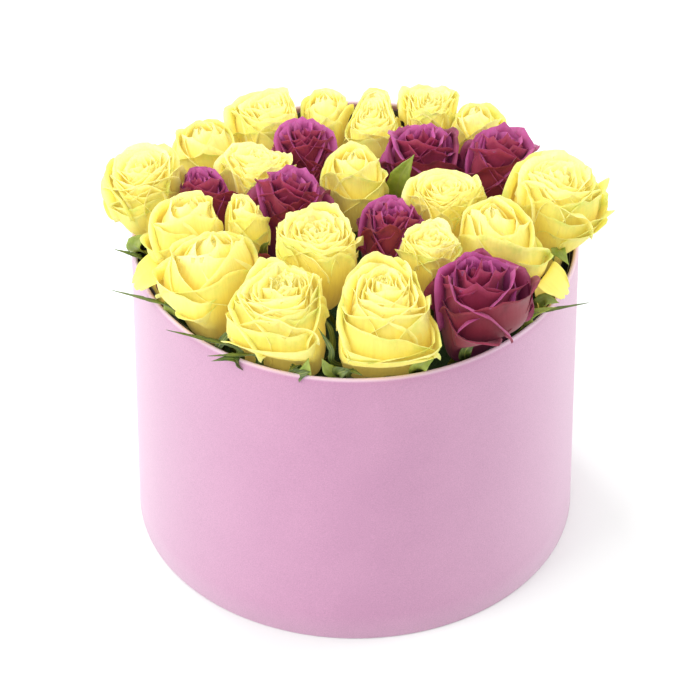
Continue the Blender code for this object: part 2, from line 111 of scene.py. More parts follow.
for name, place, size, power in LAMPS:
    lamp = bpy.data.lights.new(name, "AREA")
    lamp.size = size
    lamp.energy = power
    lamp_object = bpy.data.objects.new(name, lamp)
    link(lamp_object)
    lamp_object.location = place
    aim = Vector((0.0, 0.0, AIM_HEIGHT)) - Vector(place)
    lamp_object.rotation_euler = aim.to_track_quat("-Z", "Y").to_euler()

# %% [markdown]
# ## Surfaces from grids
# Every new piece here is a grid of points made by a formula of two numbers. A petal or a leaf
# is a thin closed blade: one sheet on each side of the grid, joined round the edge, where the
# two nearly meet. Blender gets all points and faces at once, as whole arrays.


# %% Grids to meshes
def sheet_faces(across, along, first=0):
    """Quads of a grid whose points are stored row by row."""
    index = np.arange(across * along).reshape(across, along) + first
    corners = (index[:-1, :-1], index[1:, :-1], index[1:, 1:], index[:-1, 1:])
    return np.stack(corners, axis=-1).reshape(-1, 4), index


def closed_blade(points, thickness):
    """Closed blade round a grid: the middle surface plus and minus half the thickness."""
    across, along = points.shape[:2]
    normal = np.cross(np.gradient(points, axis=0), np.gradient(points, axis=1))
    normal /= np.linalg.norm(normal, axis=2, keepdims=True) + 1e-12
    half = np.full((across, along, 1), thickness / 2)
    half[[0, -1], :] *= 0.3
    half[:, [0, -1]] *= 0.3
    upper, index = sheet_faces(across, along)
    lower = upper[:, ::-1] + across * along
    rim = np.concatenate([index[:, 0], index[-1, 1:], index[-2::-1, -1], index[0, -2:0:-1]])
    onward = np.roll(rim, -1)
    edge = np.stack([onward, rim, rim + across * along, onward + across * along], axis=-1)
    both = np.concatenate([(points + normal * half).reshape(-1, 3),
                           (points - normal * half).reshape(-1, 3)])
    return both, np.concatenate([upper, lower, edge])


def piece_from(name, points, faces, material, values=None):
    """A smooth piece at the origin from arrays of points and four-cornered faces."""
    mesh = bpy.data.meshes.new(name)
    mesh.vertices.add(len(points))
    mesh.vertices.foreach_set("co", points.astype(np.float32).ravel())
    mesh.loops.add(faces.size)
    mesh.loops.foreach_set("vertex_index", faces.astype(np.int32).ravel())
    mesh.polygons.add(len(faces))
    mesh.polygons.foreach_set("loop_start", np.arange(0, faces.size, 4, dtype=np.int32))
    mesh.update(calc_edges=True)
    mesh.polygons.foreach_set("use_smooth", np.ones(len(faces), dtype=bool))
    for value_name, value in (values or {}).items():
        attribute = mesh.attributes.new(value_name, "FLOAT", "POINT")
        attribute.data.foreach_set("value", value.astype(np.float32))
    mesh.materials.append(material)
    piece = bpy.data.objects.new(name, mesh)
    link(piece)
    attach(piece, "root")
    return piece


class Sheaf:
    """Collects blades, with one value of each kind for every point, for a single piece."""

    def __init__(self):
        self.points = []
        self.faces = []
        self.values = {}
        self.count = 0

    def take(self, points, faces, values):
        self.points.append(points)
        self.faces.append(faces + self.count)
        self.count += len(points)
        for name, value in values.items():
            self.values.setdefault(name, []).append(value)

    def add(self, grid, thickness, **values):
        points, faces = closed_blade(grid, thickness)
        both = {name: np.tile(np.broadcast_to(value, grid.shape[:2]).ravel(), 2)
                for name, value in values.items()}
        self.take(points, faces, {**both, "outside": np.repeat((1.0, 0.0), len(points) // 2)})

    def add_faces(self, grid, faces, **values):
        flat = {name: np.broadcast_to(value, grid.shape[:2]).ravel()
                for name, value in values.items()}
        self.take(grid.reshape(-1, 3), faces, {**flat, "outside": np.ones(flat["tip"].size)})

    def piece(self, name, material):
        values = {key: np.concatenate(value) for key, value in self.values.items()}
        return piece_from(name, np.concatenate(self.points), np.concatenate(self.faces),
                          material, values)


def ring_piece(name, points, material):
    """A closed piece from a grid of points that runs round in both directions."""
    index = np.arange(points.shape[0] * points.shape[1]).reshape(points.shape[:2])
    onward = np.roll(index, -1, axis=0)
    corners = (index, onward, np.roll(onward, -1, axis=1), np.roll(index, -1, axis=1))
    faces = np.stack(corners, axis=-1).reshape(-1, 4)
    return piece_from(name, points.reshape(-1, 3), faces, material)


def turned(name, profile, sides, material):
    """A closed profile of (radius, height) points turned round the upright axis."""
    profile = np.array(profile)
    angle = np.linspace(0.0, math.tau, sides, endpoint=False)[:, None]
    radius = profile[None, :, 0]
    height = np.broadcast_to(profile[None, :, 1], (sides, len(profile)))
    points = np.stack([radius * np.cos(angle), radius * np.sin(angle), height], axis=-1)
    return ring_piece(name, points, material)


# %% [markdown]
# ## Helpers for materials
# All finishes are built from shader nodes on the object's own coordinates or on values stored
# at the points of the mesh, so that they travel with the piece and need no pictures.


# %% Material helpers
def linear(red, green, blue):
    """A colour as read off a screen (0 to 255), turned into the renderer's linear values."""
    def one(value):
        value /= 255
        return value / 12.92 if value <= 0.04045 else ((value + 0.055) / 1.055) ** 2.4
    return one(red), one(green), one(blue)


class Finish:
    """A Principled material with short calls for the nodes that feed it."""

    def __init__(self, name, colour, roughness):
        self.material = bpy.data.materials.new(name)
        self.material.use_nodes = True
        self.tree = self.material.node_tree
        self.shader = self.tree.nodes["Principled BSDF"]
        self.set("Base Color", (*colour, 1.0))
        self.set("Roughness", roughness)
        self.material.diffuse_color = (*colour, 1.0)

    def set(self, socket, value):
        self.shader.inputs[socket].default_value = value

    def join(self, source, target):
        self.tree.links.new(source, target)

    def node(self, kind, **settings):
        made = self.tree.nodes.new("ShaderNode" + kind)
        for name, value in settings.items():
            setattr(made, name, value)
        return made

    def place(self):
        return self.node("TexCoord").outputs["Object"]

    def value(self, name):
        return self.node("Attribute", attribute_name=name).outputs["Fac"]

    def noise(self, scale, detail, where, roughness=0.5):
        made = self.node("TexNoise")
        made.inputs["Scale"].default_value = scale
        made.inputs["Detail"].default_value = detail
        made.inputs["Roughness"].default_value = roughness
        self.join(where, made.inputs["Vector"])
        return made.outputs["Fac"]

    def ramp(self, source, stops):
        """Colours or greys at places between 0 and 1 along the source value."""
        made = self.node("ValToRGB")
        elements = made.color_ramp.elements
        while len(elements) < len(stops):
            elements.new(0.5)
        for element, (place, colour) in zip(elements, stops):
            element.position = place
            element.color = (*colour, 1.0) if len(colour) == 3 else colour
        self.join(source, made.inputs["Fac"])
        return made.outputs["Color"]

    def fade(self, source, low, high, most=1.0):
        """A share that is nothing up to low and grows to the most at high."""
        return self.ramp(source, [(low, (0, 0, 0)), (high, (most, most, most))])

    def mix(self, share, first, second, blend="MIX"):
        made = self.node("Mix", data_type="RGBA", blend_type=blend)
        for socket, source in zip(("Factor", "A", "B"), (share, first, second)):
            target = made.inputs[socket] if socket == "Factor" else [
                one for one in made.inputs if one.name == socket and one.type == "RGBA"][0]
            if isinstance(source, (int, float)):
                target.default_value = source
            elif isinstance(source, tuple):
                target.default_value = (*source, 1.0)
            else:
                self.join(source, target)
        return [one for one in made.outputs if one.type == "RGBA"][0]

    def maths(self, operation, first, second=0.0):
        made = self.node("Math", operation=operation)
        for target, source in zip(made.inputs, (first, second)):
            if isinstance(source, (int, float)):
                target.default_value = source
            else:
                self.join(source, target)
        return made.outputs["Value"]

    def bump(self, height, strength, depth):
        made = self.node("Bump")
        made.inputs["Strength"].default_value = strength
        made.inputs["Distance"].default_value = depth
        self.join(height, made.inputs["Height"])
        self.join(made.outputs["Normal"], self.shader.inputs["Normal"])


# %% [markdown]
# ## Box
# The real box is a spiral-wound board tube covered with velvety pink paper. The CAD wall has
# 48 sides and a bevelled rim. Its twin has 192 sides and a rounded rim, because the rim
# catches the light all the way round. The paper gets a fine short nap: a grain of less than a
# millimetre in its bump and its colour, and the shader's own sheen. Its colour is also painted
# paler where the wall is seen at a slant, a painted sheen towards the edges, and a band along
# the top of the rim is painted paler still, a painted highlight on the rounded rim.

# %% Pink paper
PAPER = linear(192, 132, 169)
PAPER_SHADE = linear(184, 124, 162)
# Pale pink of the painted sheen where the wall is seen at a slant.
PAPER_PAINTED_SHEEN = linear(200, 158, 184)
# Paler pink of the painted highlight along the top of the rounded rim.
PAPER_RIM_HIGHLIGHT = linear(238, 214, 228)
GRAIN_SCALE = 1500.0
CLOUD_SCALE = 26.0

paper = Finish("pink paper", PAPER, 0.6)
spot = paper.place()
grain = paper.noise(GRAIN_SCALE, 3.0, spot, 0.6)
cloud = paper.noise(CLOUD_SCALE, 3.0, spot)
paper_tone = paper.mix(paper.fade(cloud, 0.35, 0.70), PAPER, PAPER_SHADE)
# Painted sheen: the colour is mixed towards a paler pink where the wall is seen at a slant.
facing = paper.node("LayerWeight")
facing.inputs["Blend"].default_value = 0.5
painted_sheen_share = paper.fade(facing.outputs["Facing"], 0.05, 0.75)
paper_tone = paper.mix(painted_sheen_share, paper_tone, PAPER_PAINTED_SHEEN)
speckle = paper.ramp(grain, [(0.30, (0.86, 0.86, 0.86)), (0.70, (1.09, 1.09, 1.09))])
coloured = paper.mix(1.0, paper_tone, speckle, "MULTIPLY")
# Painted highlight: a band at the top of the rim is mixed towards a paler pink.
height = paper.node("SeparateXYZ")
paper.join(spot, height.inputs["Vector"])
share_of_height = paper.maths("DIVIDE", height.outputs["Z"], float(BOX_HEIGHT))
at_rim = paper.fade(share_of_height, 0.991, 0.998, 0.8)
coloured = paper.mix(at_rim, coloured, PAPER_RIM_HIGHLIGHT)
paper.join(coloured, paper.shader.inputs["Base Color"])
paper.set("Sheen Weight", 0.4)
paper.set("Sheen Roughness", 0.5)
paper.set("Sheen Tint", (1.0, 0.95, 1.0, 1.0))
paper.set("Specular IOR Level", 0.4)
paper.bump(grain, 0.35, 0.0002)

# %% Box wall
WALL = 3 * MM
RIM_STEPS = 7
WALL_SIDES = 192
WALL_ROWS = 12
FOOT_BEVEL = 0.6 * MM
PAPER_LAP = 0.35 * MM
SEAM_ANGLE = math.radians(97)


def rounded_rim(outer, inner, top):
    """A half circle over the wall, from its outside to its inside."""
    radius = (outer - inner) / 2
    angle = np.linspace(0.0, math.pi, RIM_STEPS)
    middle = (outer + inner) / 2
    return [(middle + radius * math.cos(a), top - radius + radius * math.sin(a)) for a in angle]


def lapped(piece, lap, seam):
    """Wind the outside of the wall as one sheet: its radius grows round to a step at the seam."""
    mesh = piece.data
    flat = np.empty(len(mesh.vertices) * 3, dtype=np.float32)
    mesh.vertices.foreach_get("co", flat)
    points = flat.reshape(-1, 3)
    way = (np.arctan2(points[:, 1], points[:, 0]) - seam) % math.tau / math.tau
    radius = np.hypot(points[:, 0], points[:, 1])
    outside = radius > BOX_RADIUS - WALL / 2
    grow = np.where(outside, 1 - lap * (1 - way) / radius, 1.0)
    points[:, :2] *= grow[:, None]
    mesh.vertices.foreach_set("co", points.ravel())
    mesh.update()


inner_radius = BOX_RADIUS - WALL
wall_profile = [(BOX_RADIUS - FOOT_BEVEL, 0.0)]
wall_profile += [(BOX_RADIUS, z) for z in np.linspace(MM, BOX_HEIGHT * 0.97, WALL_ROWS)]
wall_profile += rounded_rim(BOX_RADIUS, inner_radius, BOX_HEIGHT)
wall_profile += [(inner_radius, BOX_HEIGHT * 0.5), (inner_radius, 0.0)]
box_wall = turned("paper_wall", wall_profile, WALL_SIDES, paper.material)
lapped(box_wall, PAPER_LAP, SEAM_ANGLE)
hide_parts("box_wall")
print("box wall", len(box_wall.data.polygons), "faces")

# %% [markdown]
# ## Board, foam and film
# The base and the foam stay as the CAD made them and only get a finish. The base is grey board
# with fibres. The foam is dark green, soaked, and full of fine pores. The film is a dark
# blue-grey sheet with the soft highlight of plastic. A sheet that lines a round box never
# lies flat, so its twin is a turned cup whose radius swings in small upright folds.

# %% Board base
BOARD = linear(196, 178, 172)
board = Finish("grey board", BOARD, 0.9)
fibre = board.noise(900.0, 6.0, board.place(), 0.7)
board.join(board.ramp(fibre, [(0.3, linear(170, 150, 148)), (0.7, linear(212, 196, 190))]),
           board.shader.inputs["Base Color"])
board.bump(fibre, 0.3, 0.0003)

# %% Floral foam
foam = Finish("floral foam", linear(52, 84, 48), 0.95)
pores = foam.noise(1400.0, 4.0, foam.place(), 0.7)
foam.join(foam.ramp(pores, [(0.35, linear(24, 44, 26)), (0.65, linear(66, 100, 60))]),
          foam.shader.inputs["Base Color"])
foam.bump(pores, 0.8, 0.0006)

# %% Film
film = Finish("dark film", linear(52, 54, 64), 0.38)
creases = film.noise(60.0, 5.0, film.place(), 0.6)
film.join(film.ramp(creases, [(0.3, linear(40, 42, 52)), (0.7, linear(64, 66, 78))]),
          film.shader.inputs["Base Color"])
film.bump(creases, 0.5, 0.002)

# %% Folded film cup
FILM = 0.5 * MM
FOLD_DEPTH = 1.6 * MM
FILM_SIDES = 360
FILM_ROWS = 26
cup_low, cup_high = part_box("film_cup")


def film_cup():
    """The film lining: its wall stands in small upright folds that deepen towards the rim."""
    outer = cup_high[0] - 0.2 * MM
    floor, lip = cup_low[2] + 0.1 * MM, cup_high[2]
    heights = np.concatenate([np.full(2, floor), np.linspace(floor, lip, FILM_ROWS)[1:]])
    radii = np.concatenate([[0.3 * MM], np.full(FILM_ROWS, outer)])
    inside_radii = np.maximum(radii[::-1] - FILM, 0.2 * MM)
    radii = np.concatenate([radii, inside_radii])
    heights = np.concatenate([heights, np.maximum(heights[::-1], floor + FILM)])
    angle = np.linspace(0.0, math.tau, FILM_SIDES, endpoint=False)[:, None]
    height = heights[None, :]
    rise = np.clip((height - floor) / (lip - floor), 0.0, 1.0)
    fold = 0.5 + 0.25 * np.sin(23 * angle + 3 * rise) + 0.15 * np.sin(41 * angle - 5 * rise)
    fold = fold + 0.10 * np.sin(67 * angle + 9 * rise)
    radius = radii[None, :] - FOLD_DEPTH * fold * rise * np.minimum(radii[None, :] / outer, 1.0)
    ragged = 0.6 * MM * np.sin(31 * angle) * (rise > 0.999)
    return np.stack([radius * np.cos(angle), radius * np.sin(angle),
                     height - np.abs(ragged)], axis=-1)


film_piece = ring_piece("folded_film", film_cup(), film.material)
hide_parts("film_cup")
print("film", len(film_piece.data.polygons), "faces")

# %% Finishes on the CAD's own pieces
for node_name, finish in (("box_base", board), ("foam_block", foam)):
    node = nodes[node_name]
    node.data.materials.clear()
    node.data.materials.append(finish.material)

# %% [markdown]
# ## Where the roses stand
# The table repeats the values that the CAD blooms were made from: place, size, lean and form.
# Each head lives in a cell of its own, bounded by a plane towards every neighbour and by the
# wall of the box. Squeezing narrows all layers of a head alike on the side where room is
# short, so petals press on each other as in a full box, and none passes through a neighbour.

# %% Roses
Rose = namedtuple("Rose", "number colour form x y height radius length lean towards turn sink")

ROSES = [Rose(*row) for row in (
    (1, "yellow", "rosette", -47, 92, 22, 24, 50, 12, 110, -80, 0.09),
    (2, "yellow", "smooth", -17, 97, 22, 20, 46, 10, 100, -60, 0.13),
    (3, "yellow", "rosette", 9, 89, 19, 27, 48, 6, 90, -100, 0.05),
    (4, "yellow", "ruffled", 43, 95, 22, 20, 46, 10, 70, -90, 0.05),
    (5, "yellow", "smooth", 69, 84, 24, 16, 48, 12, 40, 60, 0.08),
    (6, "yellow", "smooth", -87, 64, 25, 18, 46, 9, 160, -90, 0.10),
    (7, "plum", "pointed", -29, 55, 31, 15, 46, 8, 90, -120, 0.14),
    (8, "plum", "pointed", 38, 52, 30, 21, 50, 9, 90, -130, 0.14),
    (9, "plum", "pointed", 83, 48, 30, 21, 52, 12, 50, -70, 0.14),
    (10, "yellow", "ruffled", -55, 28, 33, 22, 46, 6, 110, -90, 0.10),
    (11, "yellow", "rosette", -119, 9, 43, 20, 62, 14, 180, -110, 0.07),
    (12, "plum", "pointed", -88, 5, 35, 21, 46, 9, 130, -140, 0.09),
    (13, "plum", "pointed", -37, -3, 42, 19, 54, 9, 90, -60, 0.10),
    (14, "yellow", "smooth", -1, 21, 40, 15, 50, 2, 90, -90, 0.04),
    (15, "yellow", "rosette", 51, -8, 40, 20, 46, 4, 0, -80, 0.05),
    (16, "yellow", "cupped", 113, 0, 44, 24, 66, 10, 5, -50, 0.05),
    (17, "plum", "pointed", 22, -31, 40, 21, 50, 6, 90, -100, 0.05),
    (18, "yellow", "smooth", -90, -27, 44, 24, 58, 6, 190, -140, 0.08),
    (19, "yellow", "smooth", -62, -22, 41, 14, 48, 4, 120, -60, 0.08),
    (20, "yellow", "ruffled", -21, -50, 44, 27, 52, 0, -90, -120, 0.04),
    (21, "yellow", "ruffled", 43, -52, 41, 20, 44, 4, 0, -90, 0.08),
    (22, "yellow", "smooth", 75, -35, 45, 27, 60, 3, -30, -90, 0.04),
    (23, "yellow", "smooth", -77, -60, 44, 30, 65, 3, -130, -70, 0.06),
    (24, "yellow", "ruffled", -39, -87, 39, 34, 61, 1, -105, -110, 0.04),
    (25, "yellow", "cupped", 16, -91, 41, 36, 61, 1, -85, -125, 0.04),
    (26, "plum", "pointed", 64, -79, 41, 29, 60, 4, -45, -60, 0.08),
)]
HALF_CLEARANCE = 0.85 * MM
FILM_INNER = BOX_RADIUS - WALL - 1.1 * MM
HEAD_RADIUS_LIMIT = FILM_INNER - 2 * MM
SPREAD_START = 3 * MM
SPREAD_SLOPE = 2.0
SHARE_POWER = 10.0
MIDDLE_SHARE = 0.55
NEIGHBOUR_REACH = 1.7


class Head:
    """Place, axis and cell of one rose head, with its own frame at the neck."""

    def __init__(self, rose):
        self.rose = rose
        self.radius = rose.radius * MM
        self.length = rose.length * MM
        lean = math.radians(rose.lean)
        towards = math.radians(rose.towards)
        side = np.array([math.cos(towards), math.sin(towards), 0.0])
        self.axis = side * math.sin(lean) + UP * math.cos(lean)
        self.first = side * math.cos(lean) - UP * math.sin(lean)
        self.second = np.cross(self.axis, self.first)
        eye = np.array([rose.x * MM, rose.y * MM, BOX_HEIGHT + rose.height * MM])
        self.neck = eye - self.axis * self.length
        self.middle = self.neck + self.axis * self.length * MIDDLE_SHARE
        self.walls = []

    def world(self, along_first, along_second, along_axis):
        return (self.neck + along_first[..., None] * self.first
                + along_second[..., None] * self.second
                + along_axis[..., None] * self.axis)

    def meet(self, others):
        """Put a plane between this head and each near one, shared out by their radii."""
        for other in others:
            if other is self:
                continue
            across = other.middle - self.middle
            distance = np.linalg.norm(across)
            if distance < NEIGHBOUR_REACH * (self.radius + other.radius):
                share = self.radius / (self.radius + other.radius)
                self.walls.append((across / distance, distance * share - HALF_CLEARANCE))

    def squeeze(self, points, envelope=None):
        """Narrow the head where its neighbours or the wall of the box leave less room.

        Each plane and the round wall give the head's whole width in the direction of a point
        as a share of the room there; the shares are pooled by a power mean, and the point
        moves straight towards the head's axis by it.
        """
        along = (points - self.neck) @ self.axis
        foot = self.neck + along[..., None] * self.axis
        offset = points - foot
        distance = np.linalg.norm(offset, axis=-1) + 1e-9
        if envelope is None:
            fill = np.clip(along / (0.5 * self.length), 0.0, 1.0)
            envelope = self.radius * (0.45 + 0.75 * np.sqrt(1 - (1 - fill) ** 2))
        pooled = np.zeros(points.shape[:-1])
        for normal, room in self.walls:
            left = np.maximum(room - (foot - self.middle) @ normal, 2 * MM)
            pooled += np.clip(offset @ normal / left, 0.0, None) ** SHARE_POWER
        rise = np.clip(points[..., 2] - (BOX_HEIGHT + SPREAD_START), 0.0, None)
        limit = HEAD_RADIUS_LIMIT + SPREAD_SLOPE * rise
        a = offset[..., 0] ** 2 + offset[..., 1] ** 2 + 1e-12
        b = 2 * (foot[..., 0] * offset[..., 0] + foot[..., 1] * offset[..., 1])
        c = foot[..., 0] ** 2 + foot[..., 1] ** 2 - limit ** 2
        reach = (-b + np.sqrt(np.maximum(b * b - 4 * a * c, 0.0))) / (2 * a)
        pooled += (1.0 / np.maximum(reach, 0.05)) ** SHARE_POWER
        share = pooled ** (1.0 / SHARE_POWER) * envelope / distance
        narrowed = (1.0 + share ** SHARE_POWER) ** (-1.0 / SHARE_POWER)
        return foot + offset * narrowed[..., None]


heads = [Head(rose) for rose in ROSES]
for head in heads:
    head.meet(heads)
print(len(heads), "rose heads, each with", len(heads[0].walls), "or so neighbours")

# %% [markdown]
# ## One petal
# A rose petal leaves the flower base almost flat, swells round the belly of the head, stands
# up to the mouth and rolls back at its lip. Young petals wrap tightly round the heart, old
# ones stand wide. We draw the petal's side view as a Bezier curve, turn its last part
# outwards by a growing angle, which gives a true rolled lip, and sweep it round the axis.
# The lip is cut to a broad arch with a small point, and waved and crinkled by sines.

# %% Petal forms
Form = namedtuple("Form", "petals crowd breadth nest mouth gather drop floor square fall tip "
                          "lip roll side_roll early wave crinkle frill slope")

FORMS = {
    "smooth": Form(14, 1.1, 1.18, 0.32, 0.94, 1.30, 0.05, 0.70, 2.2, 0.60, 0.04,
                   0.16, 1.5, 0.9, 1.6, 0.030, 0.006, 0.0, 0.07),
    "rosette": Form(32, 1.6, 0.95, 0.80, 0.96, 0.62, 0.0, 0.76, 3.6, 0.40, 0.02,
                    0.20, 1.4, 0.5, 0.35, 0.032, 0.009, 0.2, 0.03),
    "cupped": Form(28, 1.6, 1.00, 0.85, 0.90, 1.00, 0.0, 0.78, 3.6, 0.40, 0.02,
                   0.18, 1.5, 0.6, 0.50, 0.045, 0.011, 0.3, 0.03),
    "ruffled": Form(38, 1.7, 0.85, 0.80, 0.88, 0.62, 0.0, 0.78, 3.6, 0.36, 0.01,
                    0.18, 1.5, 0.4, 0.40, 0.050, 0.014, 0.8, 0.03),
    "pointed": Form(18, 1.4, 1.15, 0.80, 0.90, 0.85, 0.0, 0.70, 2.6, 0.50, 0.07,
                    0.24, 1.6, 0.7, 0.40, 0.060, 0.014, 0.4, 0.06),
}
GOLDEN_TURN = math.radians(137.5)
PROFILE_STEPS = 49
OUTER_GRID = (33, 13)
INNER_GRID = (19, 11)


def running_sum(rate, s):
    """Adds up a rate along the petal, from the root at the first column."""
    steps = (rate[:, 1:] + rate[:, :-1]) / 2 * np.diff(s, axis=1)
    return np.concatenate([np.zeros((len(rate), 1)), np.cumsum(steps, axis=1)], axis=1)


def petal_surface(head, form, age, facing, draw, across, along, lift=0.0, fallen=0.0):
    """Middle surface of one petal in world metres.

    The side view is a cubic Bezier curve from the neck to the mouth. Its direction is turned
    outwards past the start of the lip by roll times the square of the way to the edge, and
    the turned steps are added up. The sweep round the axis is facing plus u times the spread.
    """
    radius, length = head.radius, head.length
    belly = 1.12 * radius * (0.27 + 0.73 * age ** form.nest)
    own_mouth = form.mouth * (1 + 0.06 * draw.normal() * age) * (1 + 0.85 * fallen)
    mouth = radius * (0.05 + (own_mouth - 0.05) * age ** form.gather)
    top = length * (1.0 - (form.drop + head.rose.sink) * age ** 3 + lift) * (1 - 0.50 * fallen)
    breadth = form.breadth + (1.15 - form.breadth) * age ** 4
    spread = math.radians(112 - 34 * age) * breadth
    u = np.sin(np.linspace(-1.0, 1.0, across) * math.pi / 2)[:, None]
    v = np.linspace(0.0, 1.0, PROFILE_STEPS)[None, :]
    phase = draw.random(6) * 2 * math.pi
    ripple = np.sin(2.1 * u + phase[0]) + 0.5 * np.sin(4.7 * u + phase[1])
    detail = across / OUTER_GRID[0]
    teeth = np.sin(13 * detail * u + phase[2]) + 0.7 * np.sin(23 * detail * u + phase[3])
    skew = 0.10 * math.sin(phase[5])
    slope = form.slope * draw.normal() * age
    tilted = np.clip(np.abs(u) + skew * u * (1 - u * u), 0.0, 1.0)
    arch = form.floor + (1 - form.floor) * (1 - tilted ** form.square) ** form.fall
    arch = arch + form.tip * np.exp(-np.abs(u) / 0.18)
    arch = arch + form.crinkle * 1.2 * teeth * (0.3 + 0.7 * age) + 0.012 * ripple + slope * u
    s = 0.03 + 0.97 * v * arch
    t = 1 - s
    root = 0.09 * radius
    out_1 = 3 * (belly * 1.10 - root)
    out_2 = 3 * (belly * 1.20 - belly * 1.10)
    out_3 = 3 * (mouth - belly * 1.20)
    up_1 = 3 * 0.04 * length
    up_2 = 3 * (0.62 * top - 0.04 * length)
    up_3 = 3 * 0.38 * top
    go_out = t * t * out_1 + 2 * t * s * out_2 + s * s * out_3
    go_up = t * t * up_1 + 2 * t * s * up_2 + s * s * up_3
    lip_from = 1 - form.lip * (1 - 0.45 * age) * (1 + 0.9 * np.abs(u) ** 1.6)
    lip = np.clip((v - lip_from) / (1 - lip_from), 0.0, 1.0)
    roll = (form.roll + form.side_roll * np.abs(u) ** 2) * age ** form.early
    roll = roll * (0.6 + 0.8 * draw.random()) * (1 - 0.9 * fallen)
    bend = -roll * lip ** 1.5
    out = root + running_sum(go_out * np.cos(bend) - go_up * np.sin(bend), s)
    rise = 0.5 * MM + running_sum(go_out * np.sin(bend) + go_up * np.cos(bend), s)
    out = out * (1 + 0.06 * u * np.minimum(1.0, 2.5 * s))
    edge = np.clip((s - 0.35) / 0.65, 0.0, None) ** 2.5
    frill = form.frill * (1 - age) ** 1.5
    out = out + form.wave * radius * ripple * edge * (0.4 + 0.6 * age)
    out = out + 0.06 * radius * frill * np.sin(9 * u + phase[3]) * edge
    rise = rise + form.wave * radius * 0.8 * np.sin(3.3 * u + phase[4]) * edge
    fringe = np.clip((v - 0.80) / 0.20, 0.0, None) ** 2
    out = out + form.crinkle * radius * 1.6 * teeth * fringe
    turn = facing + u * spread * (0.55 + 0.45 * np.minimum(1.0, s / 0.45))
    pick = np.round(np.linspace(0.0, 1.0, along) ** 0.8 * (PROFILE_STEPS - 1)).astype(int)
    out, rise, turn = out[:, pick], rise[:, pick], turn[:, pick]
    points = head.world(out * np.cos(turn), out * np.sin(turn), rise)
    envelope = (1.25 + 0.7 * fallen) * radius if fallen else None
    return head.squeeze(points, envelope), u, v[:, pick]


# %% [markdown]
# ## Over the rim
# Two loose petals and seven long sepals lean against the inside of the box and lie over its
# rim. Their path is a smooth curve through six places: the start, the foot of the wall, the
# wall just below the rim, the crest, and two places on the way to the tip. The loose petals
# are swept round the box's own axis, so that they lie against the round wall.

# %% Paths over the rim
CLIMB_RADIUS = FILM_INNER - 1.9 * MM
FOOT_INSET = 5 * MM
FOOT_DROP = 3 * MM
DEPTH_ON_WALL = 10 * MM
CREST_OUT = 1.5 * MM
CREST_HEIGHT = 2.5 * MM
BEND_INSET = 3 * MM


def smooth_path(knots, t):
    """Points at t (0 to 1) on the Catmull-Rom curve through the knots."""
    knots = np.array([2 * knots[0] - knots[1], *knots, 2 * knots[-1] - knots[-2]])
    place = np.clip(np.asarray(t), 0.0, 1.0) * (len(knots) - 3)
    span = np.minimum(place.astype(int), len(knots) - 4)
    f = (place - span)[:, None]
    a, b, c, d = (knots[span + i] for i in range(4))
    return 0.5 * (2 * b + (c - a) * f + (2 * a - 5 * b + 4 * c - d) * f ** 2
                  + (3 * b - a - 3 * c + d) * f ** 3)


def unit(vectors):
    return vectors / (np.linalg.norm(vectors, axis=-1, keepdims=True) + 1e-9)


def climb(start, degrees):
    """The way out from the middle of the box, and the foot and the top of a climb there."""
    angle = math.radians(degrees)
    outwards = np.array([math.cos(angle), math.sin(angle), 0.0])
    foot = outwards * (CLIMB_RADIUS - FOOT_INSET) + UP * (start[2] - FOOT_DROP)
    return outwards, foot, outwards * CLIMB_RADIUS + RIM - UP * DEPTH_ON_WALL


def over_rim_path(start, climbs, tip, v):
    """Path of a blade from its start, under the petals to the wall, up it and over the rim."""
    outwards, foot, wall = climb(start, climbs)
    tip = np.array(tip) * MM + RIM
    crest = outwards * (CLIMB_RADIUS + CREST_OUT) + RIM + UP * CREST_HEIGHT
    over = crest + (tip - crest) * 0.4 + UP * MM
    return smooth_path([start, foot, wall, crest, over, tip], v), outwards


FallenPetal = namedtuple("FallenPetal", "rose climbs bend lip_radius lip_height half")

FALLEN_PETALS = [
    FallenPetal(18, 203, 14, 132, 5, 13),
    FallenPetal(22, 333.5, 13, 130, 4, 13),
]
FALLEN_GRID = (31, 33)


def draped_path(start, petal, v):
    """Path of a loose petal: up the wall, bent above the rim, and down to its lip outside."""
    outwards, foot, wall = climb(start, petal.climbs)
    bend = outwards * (CLIMB_RADIUS - BEND_INSET) + RIM + UP * petal.bend * MM
    lip = outwards * petal.lip_radius * MM + RIM + UP * petal.lip_height * MM
    over = (bend + lip) / 2 + UP * 2 * MM
    return smooth_path([start, foot, wall, bend, over, lip], v)


def hand_path(places, v):
    """Smooth path through places given in millimetres from the middle of the rim."""
    return smooth_path([np.array(place) * MM + RIM for place in places], v)


# %% [markdown]
# ## Stray plum petals
# Two bits of plum show between yellow heads at the left. They are loose outer petals of the
# two nearest plum roses that have slid down between their neighbours. Each is a small blade
# along a path of its own, given in millimetres from the middle of the rim.

# %% Stray petals
StrayPetal = namedtuple("StrayPetal", "rose path half faces")

STRAY_PETALS = [
    StrayPetal(12, [(-90, -2, -14), (-102, -30, -10), (-107, -44, -4), (-106, -50, 6)], 8.0,
               (-0.5, -0.8, 0.4)),
    StrayPetal(13, [(-40, -10, -4), (-48, -34, 6), (-51, -43, 16), (-52, -46, 27)], 6.5,
               (-0.2, -0.9, 0.5)),
]


def stray_petal(petal):
    """A small shell-shaped petal along its path, facing the given way."""
    v = np.linspace(0.0, 1.0, FALLEN_GRID[1])
    u = np.linspace(-1.0, 1.0, FALLEN_GRID[0])[:, None]
    path = hand_path(petal.path, v)
    ahead = np.gradient(path, axis=0)
    side = unit(np.cross(ahead, np.array(petal.faces, dtype=float)))
    face = unit(np.cross(side, ahead))
    half = petal.half * MM * (0.2 + 0.8 * np.sin(0.55 * math.pi * v)) * np.sqrt(1 - 0.8 * v ** 6)
    cup = half * (0.35 * u ** 2 + 0.08 * np.sin(5 * u + 7 * v)) - 3 * MM * v ** 6
    points = path[None] + side[None] * (u * half)[..., None] - face[None] * cup[..., None]
    return points, u, v


